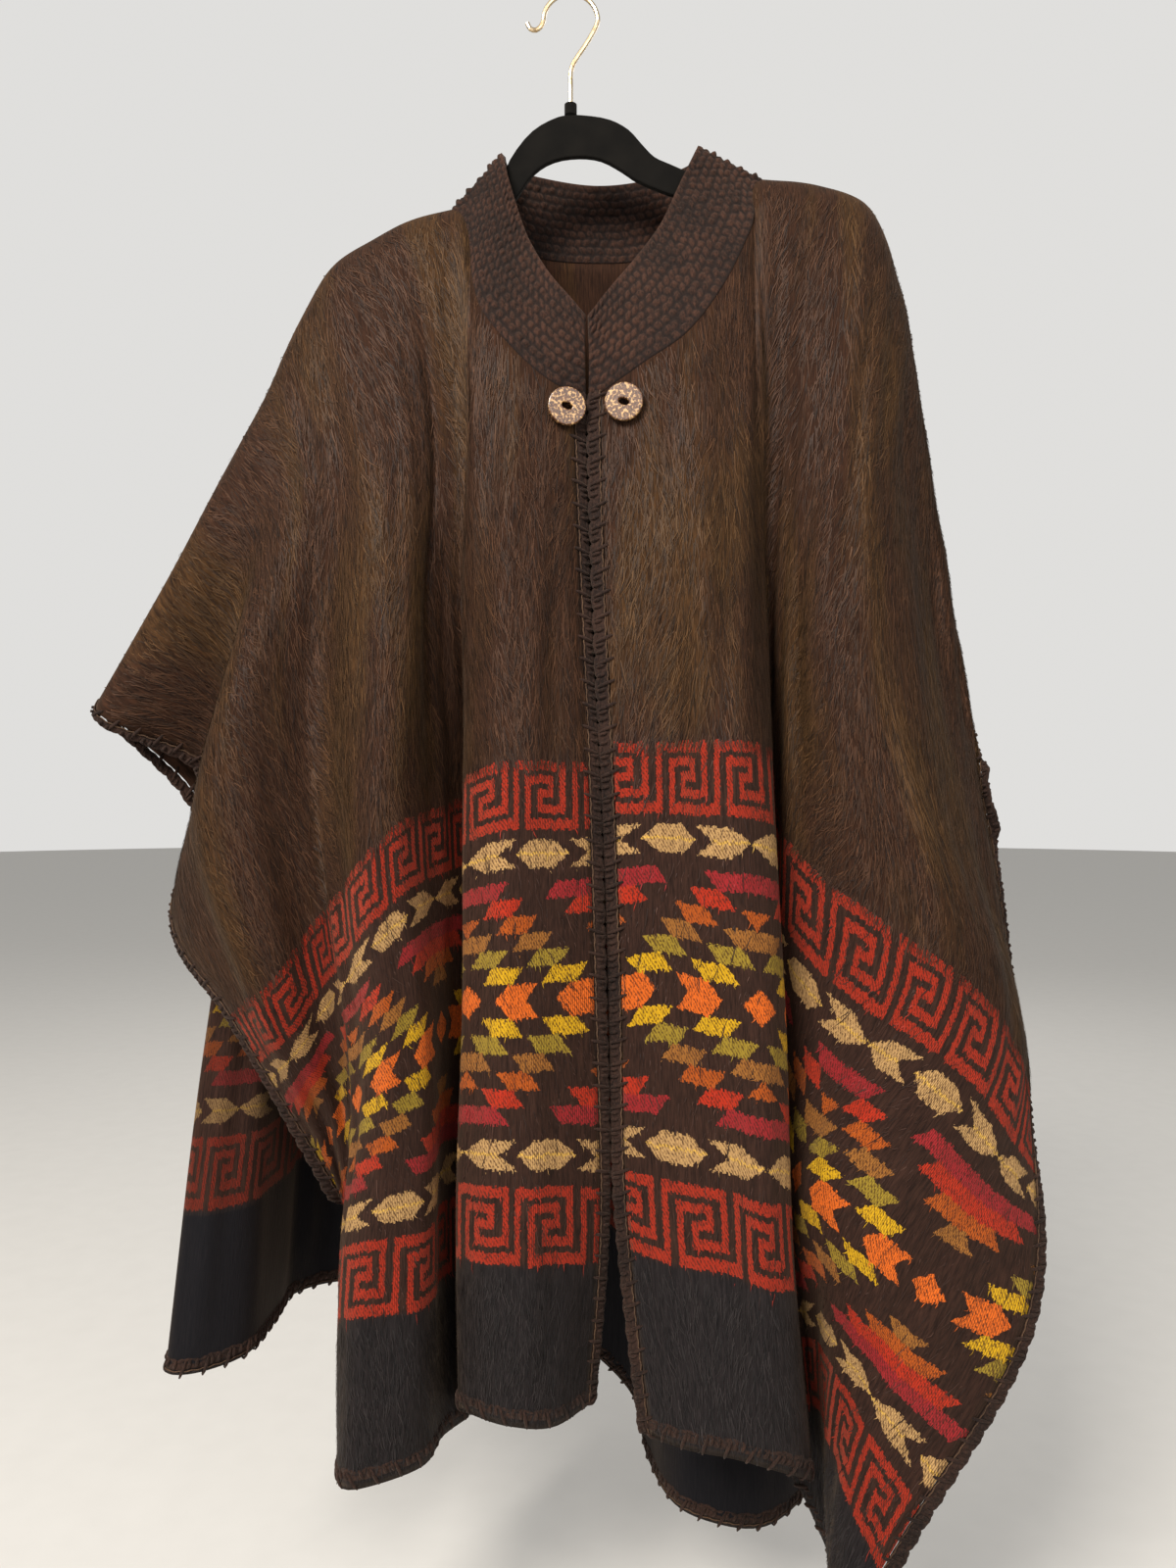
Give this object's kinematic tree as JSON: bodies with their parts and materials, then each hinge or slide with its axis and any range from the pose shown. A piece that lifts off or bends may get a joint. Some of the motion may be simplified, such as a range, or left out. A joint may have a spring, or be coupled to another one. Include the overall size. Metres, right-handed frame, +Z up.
{
  "type": "andean poncho on a clothes hanger",
  "caption": "Open-front brushed wool poncho with a woven patterned band, knitted collar, crocheted edging and coconut buttons, hanging on a flocked hanger.",
  "frame": {"origin": "inside top of the hanger's hook, where it rests on what holds it", "axes": "+Z up, -Y out of the poncho's front, +X to the right as the front is seen"},
  "size_m": [0.7586, 0.3045, 1.3168],
  "materials": {
    "cloth": "brushed, long-napped dark brown wool with a woven band of figures above the hem",
    "crochet": "crocheted dark brown wool edging",
    "knit": "thick hand-knitted dark brown wool",
    "coconut": "polished, speckled coconut shell",
    "flock": "near-black flock over plastic",
    "hook_metal": "pale gold plated wire"
  },
  "bodies": {
    "root": {"front_left": "cloth", "front_right": "cloth", "back": "cloth", "front_left_edging": "crochet", "front_right_edging": "crochet", "back_edging": "crochet", "collar": "knit", "button_left": "coconut", "button_right": "coconut", "hanger_body": "flock", "hanger_ferrule": "flock", "hanger_hook": "hook_metal"}
  },
  "joints": []
}
